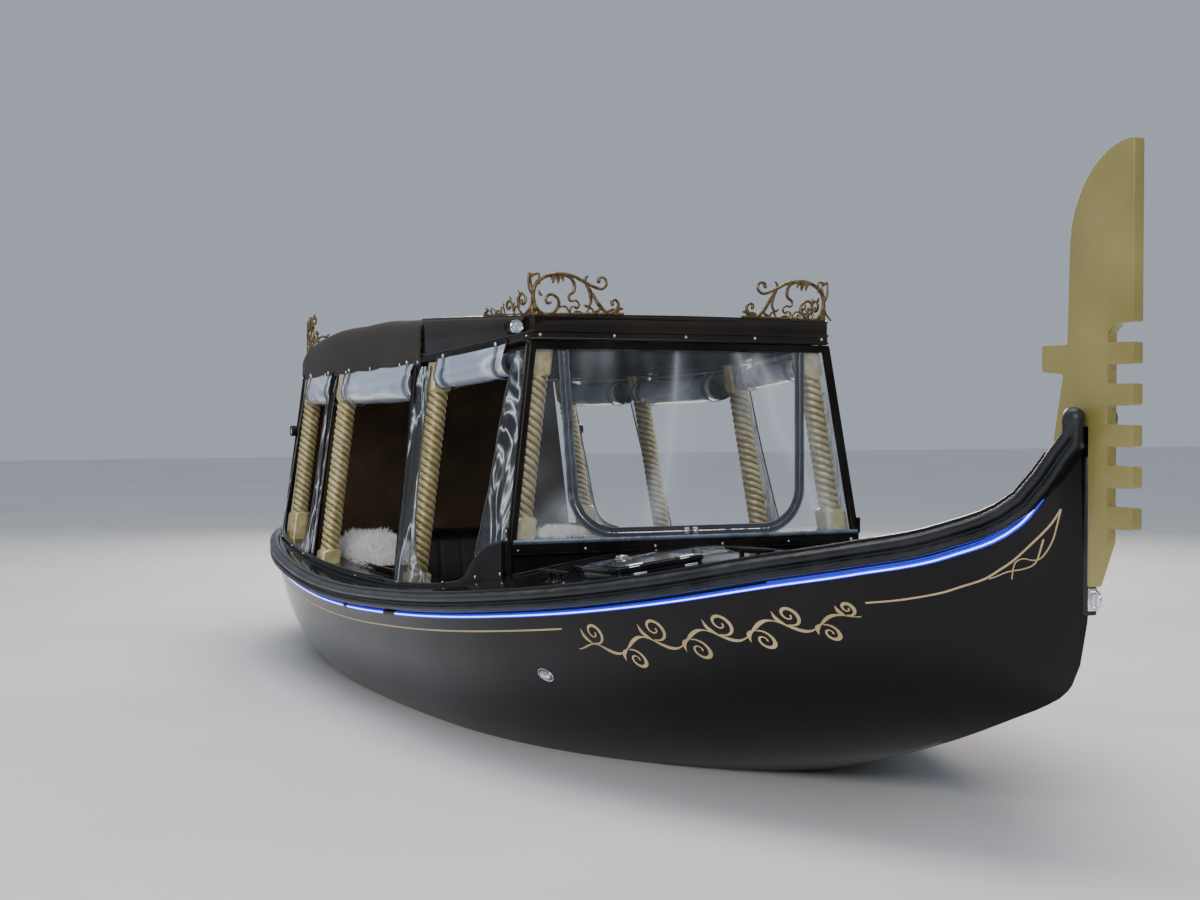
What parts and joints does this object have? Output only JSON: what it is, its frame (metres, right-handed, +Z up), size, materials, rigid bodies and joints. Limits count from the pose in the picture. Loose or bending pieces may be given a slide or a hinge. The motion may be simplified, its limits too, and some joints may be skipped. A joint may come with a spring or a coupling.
{
  "type": "gondola boat",
  "caption": "Small cabin gondola for sightseeing: black hull, gold comb prow, rope-twist columns, clear side curtains, canvas roof cover, foredeck lockers, helm wheel, propeller and rudder.",
  "frame": {"origin": "on the centreline at the waterline, halfway along the boat", "axes": "+X towards the bow, +Y to port, +Z up"},
  "size_m": [5.827, 1.858, 2.004],
  "materials": {
    "antique_brass": "antique brass",
    "binding": "blue-grey woven binding",
    "black_leather": "black upholstery",
    "black_paint": "satin black",
    "bronze": null,
    "burgundy": "burgundy upholstery",
    "canvas": "black canvas",
    "chrome": "polished",
    "clear_vinyl": "clear flexible vinyl, modelled as glass",
    "fur": "white long-pile fur",
    "gelcoat": "high gloss black gelcoat",
    "gold_paint": "satin olive-gold paint",
    "lit_strip": "blue light strip, lit",
    "rope_gold": "satin gold paint",
    "rubber": "satin black rubber",
    "wheel_wood": "varnished wood"
  },
  "bodies": {
    "boat": {"aft_bulkhead": "black_paint", "battery_block": "black_paint", "bow_eye": "chrome", "cabin_tub": "black_paint", "canvas_cover": "canvas", "clear_panel_port": "clear_vinyl", "clear_panel_starboard": "clear_vinyl", "cleat_fore_port": "black_paint", "cleat_fore_starboard": "black_paint", "cleat_mid_port": "black_paint", "cleat_mid_starboard": "black_paint", "column_1_port": "rope_gold", "column_1_starboard": "rope_gold", "column_2_port": "rope_gold", "column_2_starboard": "rope_gold", "column_3_port": "rope_gold", "column_3_starboard": "rope_gold", "column_4_port": "rope_gold", "column_4_starboard": "rope_gold", "deck": "gelcoat", "ferro": "gold_paint", "fur_throw": "fur", "helm_console": "black_paint", "hull": "gelcoat", "keel_skeg": "gelcoat", "light_strip_port": "lit_strip", "light_strip_starboard": "lit_strip", "rolled_curtains_port": "clear_vinyl", "rolled_curtains_starboard": "clear_vinyl", "roof_front": "gelcoat", "rub_rail": "rubber", "scrollwork_aft_port": "antique_brass", "scrollwork_aft_starboard": "antique_brass", "scrollwork_front_port": "antique_brass", "scrollwork_front_starboard": "antique_brass", "seat_back_aft": "black_leather", "seat_back_front": "black_leather", "seat_base_aft": "black_paint", "seat_base_front": "black_paint", "seat_cushion_aft": "burgundy", "seat_cushion_front": "burgundy", "side_frame_port": "black_paint", "side_frame_starboard": "black_paint", "side_pad_port": "burgundy", "side_pad_starboard": "burgundy", "sill_throw": "fur", "spot_lamp_starboard": "black_paint", "stem_band": "rubber", "window_binding": "binding", "windscreen": "clear_vinyl", "windscreen_frame": "black_paint"},
    "hatch_starboard": {"foredeck_hatch_starboard": "gelcoat"},
    "hatch_port": {"foredeck_hatch_port": "gelcoat"},
    "wheel": {"steering_wheel": "wheel_wood"},
    "propeller": {"propeller": "bronze"},
    "rudder": {"rudder": "bronze"}
  },
  "joints": [
    {"name": "hatch_starboard_hinge", "type": "hinge", "parent": "boat", "child": "hatch_starboard", "pos_m": [1.374, -0.41655, 0.6061], "axis": [0, 0.9929, 0.1193], "range_deg": [0, 95]},
    {"name": "hatch_port_hinge", "type": "hinge", "parent": "boat", "child": "hatch_port", "pos_m": [1.374, 0.41655, 0.6061], "axis": [0, 0.9929, -0.1193], "range_deg": [0, 95]},
    {"name": "rudder_stock", "type": "hinge", "parent": "boat", "child": "rudder", "pos_m": [-2.37, 0, -0.2], "axis": [0, 0, 1], "range_deg": [-35, 35]},
    {"name": "wheel_spin", "type": "hinge", "parent": "boat", "child": "wheel", "pos_m": [-1.9646, 0, 0.8567], "axis": [-0.9394, 0, 0.3429], "range_deg": [-350, 350]},
    {"name": "propeller_spin", "type": "hinge", "parent": "boat", "child": "propeller", "pos_m": [-2.15, 0, -0.235], "axis": [1, 0, 0], "continuous": true}
  ],
  "couplings": [
    {"joint": "wheel_spin", "follows": "rudder_stock", "ratio": 10}
  ]
}
